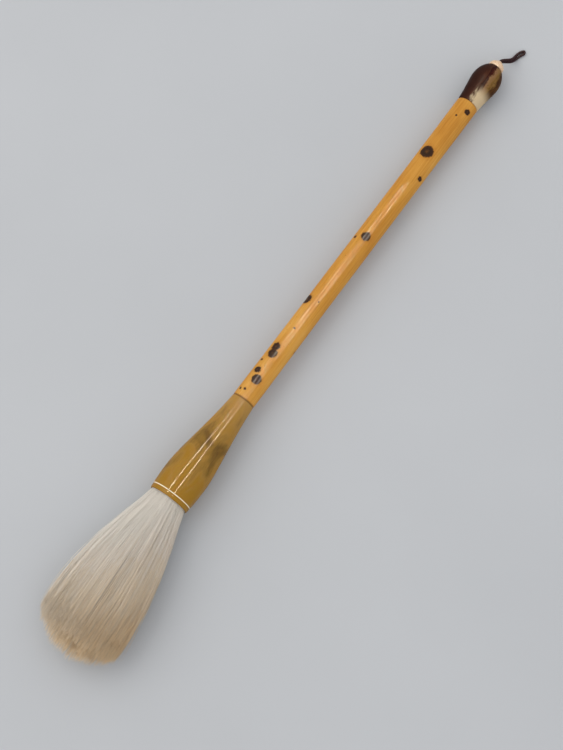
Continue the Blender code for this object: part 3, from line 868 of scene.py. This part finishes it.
# %% Outer hairs
SHELL_HAIRS = 8400
SHELL_PIECES = 4
INNER_HAIRS = 3100
STRAY_HAIRS = 260
FURTHEST = 67.6              # mm, how far the middle hairs reach
ROUNDING = 9.5               # mm, how much less the outermost ones reach
SHORT_HAIRS = 2.2            # mm, how much shorter a hair is on average by chance
LOCK_TONE_SHARE = 0.32       # how much of a hair's tone comes from its lock
OWN_TONE_SHARE = 0.95        # and how much is its own
BAND_SHIFT = -5 * MM         # where the bands of colour change, against BAND_EDGES
BAND_SPREAD = 6 * MM         # how much that differs from hair to hair
# Painted light: hairs on the lit left side, towards the key light, get paler bands, and those on the
# shaded right side yellower ones.
LIT_SIDE_SHIFT = 14 * MM         # and from the middle to one side
BROWN_SHARE = 0.012          # how many hairs are brown all along


def tip_reach(place, lock_share):
    """How far a hair at this place reaches: furthest in the middle, with scatter."""
    depth = np.hypot(place[:, 0], place[:, 1])
    short = dice.exponential(SHORT_HAIRS, len(place))
    return (FURTHEST - ROUNDING * depth**2.6 - short + 0.5 * lock_share
            + dice.normal(0, 0.5, len(place))) * MM


def scatter(count, inner, outer):
    """Places spread evenly round the bundle, each a little off its turn, at any depth between."""
    angle = (np.arange(count) + dice.uniform(0, 1, count)) * math.tau / count
    depth = np.sqrt(dice.uniform(inner**2, outer**2, count))
    return np.stack([depth * np.cos(angle), depth * np.sin(angle)], 1)


def hairs(name, place, root, wildness):
    """One piece of many hairs, with a tone for each hair and bands of colour along it."""
    count = len(place)
    lock = ((place[:, None, :] - LOCK_PLACE[None, :, :]) ** 2).sum(2).argmin(1)
    tip = tip_reach(place, LOCK_REACH[lock])
    radius = HAIR_RADIUS * dice.uniform(0.8, 1.15, count)
    points = comb(place, lock, root, tip, radius, wildness)
    step = len(HAIR_POINTS)
    faces = [[corner + step * hair for corner in face]
             for hair in range(count) for face in HAIR_FACES]
    mesh = bpy.data.meshes.new(name)
    mesh.from_pydata(points.reshape(-1, 3).tolist(), [], faces)
    tone = np.digitize(LOCK_TONE_SHARE * LOCK_TONE[lock] + OWN_TONE_SHARE * dice.normal(0, 1, count),
                       [-1.0, -0.1, 0.8])
    # Painted light: besides each hair's own random shift, its bands move towards the root on the lit
    # side and towards the tip on the shaded side.
    shift = dice.normal(BAND_SHIFT, BAND_SPREAD, count) - LIT_SIDE_SHIFT * place[:, 0]
    middle = root[:, None] + (tip - root)[:, None] * FACE_PLACE[None, :]
    band = np.digitize(middle + shift[:, None], BAND_EDGES)
    wears = band * len(TONES) + tone[:, None]
    wears[dice.uniform(0, 1, count) < BROWN_SHARE] = len(hair_materials) - 1
    mesh.polygons.foreach_set("material_index", wears.reshape(-1).astype(np.int32))
    thing = piece(name, mesh, hair_materials, nodes=["cover_hair"])
    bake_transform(thing)


for number in range(SHELL_PIECES):
    count = SHELL_HAIRS // SHELL_PIECES
    calm = np.abs(dice.normal(0.010, 0.010, count))
    hairs("goat_hair_shell_%d" % (number + 1), scatter(count, 0.80, 1.0),
          dice.uniform(-7, -5, count) * MM, calm)
calm = np.abs(dice.normal(0.012, 0.012, INNER_HAIRS))
hairs("goat_hair_tips", scatter(INNER_HAIRS, 0.0, 0.86), dice.uniform(40, 46, INNER_HAIRS) * MM, calm)
wild = dice.uniform(0.02, 0.07, STRAY_HAIRS)
hairs("goat_hair_strays", scatter(STRAY_HAIRS, 0.93, 1.03), np.full(STRAY_HAIRS, -6 * MM), wild)

# %% [markdown]
# ## Hidden parts
# Inside the ferrule the hair is bound with thread and sealed with rosin, and a wooden peg joins
# ferrule and handle. The plug and the peg already have the right shape, so they stay and only
# get a finish. The binding is replaced by a turned piece with four round turns of thread.

# %% Thread, rosin and peg wood
def fibrous(name, slow, stops, roughness, scale):
    """A fibrous or cloudy finish: noise stretched along the shaft through a ramp, and a bump."""
    material, tree, shader = new_material(name, roughness=roughness)
    place = shaft_coordinates(tree)
    stretched = add(tree, "Mapping", {"Vector": place, "Scale": (slow, 1, 1)}).outputs[0]
    grain = add(tree, "TexNoise", {"Vector": stretched, "Scale": scale, "Detail": 4.0})
    shade = add(tree, "ValToRGB", {0: grain.outputs[0]}, stops)
    tree.links.new(shade.outputs[0], shader.inputs["Base Color"])
    bump = add(tree, "Bump", {"Height": grain.outputs[0], "Strength": 0.3, "Distance": 0.1 * MM})
    tree.links.new(bump.outputs[0], shader.inputs["Normal"])
    return material


def wear(node_name, material):
    """Give a node of the frame a finish in all its slots."""
    for held in frame["nodes"][node_name].material_slots:
        held.material = material


wear("rosin_plug", fibrous("melted_rosin", 1.0, [(0.3, "4A2A0C"), (0.7, "8A5A20")], 0.25, 0.6))
wear("joint_peg", fibrous("split_bamboo_peg", 0.08, [(0.3, "B08A55"), (0.7, "D4B47E")], 0.65, 2.0))
binding_turns = [(8.85 + 0.8 * k + 0.4 - 0.36 * math.cos(a), 6.75 + 0.36 * math.sin(a))
                 for k in range(4) for a in np.linspace(0, math.pi, 7)]
finish_turned("wound_root_binding", turned([(8.8, 6.3), *binding_turns, (12.1, 6.3)]),
              fibrous("waxed_thread", 6.0, [(0.3, "BCA986"), (0.7, "DDD0B4")], 0.8, 3.0),
              "root_binding")

# %% [markdown]
# ## Lights, world and board
# The brush lies on a white board under a bright, even sky of light, with one large soft light on
# its left that lays a faint shadow to the right. Two long tubes overhead only show as reflections:
# they draw the pair of fine lines along the varnish.

# %% Board
def white_board():
    material, tree, shader = new_material("matt_white_board", roughness=0.9, specular_ior_level=0.0)
    place = add(tree, "TexCoord").outputs["Object"]
    mottle = add(tree, "TexNoise", {"Vector": place, "Scale": 9.0, "Detail": 4.0})
    shade = add(tree, "ValToRGB", {0: mottle.outputs[0]}, [(0.3, "BDC0C3"), (0.7, "C1C4C7")])
    tree.links.new(shade.outputs[0], shader.inputs["Base Color"])
    return material


BOARD_SPREAD = 12.0
board_shape = bmesh.new()
bmesh.ops.create_grid(board_shape, x_segments=4, y_segments=4, size=BOARD_SPREAD)
board_mesh = bpy.data.meshes.new("board")
board_shape.to_mesh(board_mesh)
board_shape.free()
board_mesh.materials.append(white_board())
board = bpy.data.objects.new("board", board_mesh)
bpy.context.scene.collection.objects.link(board)

# %% Lights
SKY_STRENGTH = 0.87
TUBE_FORWARD = 0.14
TUBE_HEIGHT = 0.9


def panel(name, place, size_along, size_across, watts, colour="FFFFFF"):
    """A rectangular light that faces the middle of the brush."""
    data = bpy.data.lights.new(name, "AREA")
    data.shape = "RECTANGLE"
    data.size = size_along
    data.size_y = size_across
    data.energy = watts
    data.color = linear(colour)[:3]
    lamp = bpy.data.objects.new(name, data)
    lamp.location = place
    lamp.rotation_euler = (Vector((0, 0, 0)) - Vector(place)).to_track_quat("-Z", "Y").to_euler()
    bpy.context.scene.collection.objects.link(lamp)
    return lamp


panel("soft_key", (-0.15, 0.75, 0.95), size_along=1.2, size_across=1.0, watts=3.9,
      colour="FFF8EE")
for tube_name, across in (("left_tube", 0.32), ("right_tube", -0.22)):
    lamp = panel(tube_name, (TUBE_FORWARD, across, TUBE_HEIGHT), size_along=0.68,
                 size_across=0.036, watts=8.5, colour="FFEFD2")
    lamp.rotation_euler = (-math.atan2(across, TUBE_HEIGHT), 0, 0)
    lamp.visible_diffuse = False
world = bpy.data.worlds.new("studio")
world.use_nodes = True
sky = world.node_tree.nodes["Background"]
sky.inputs["Color"].default_value = linear("FDFDFF")
sky.inputs["Strength"].default_value = SKY_STRENGTH
bpy.context.scene.world = world
bpy.context.scene.view_settings.view_transform = "Standard"
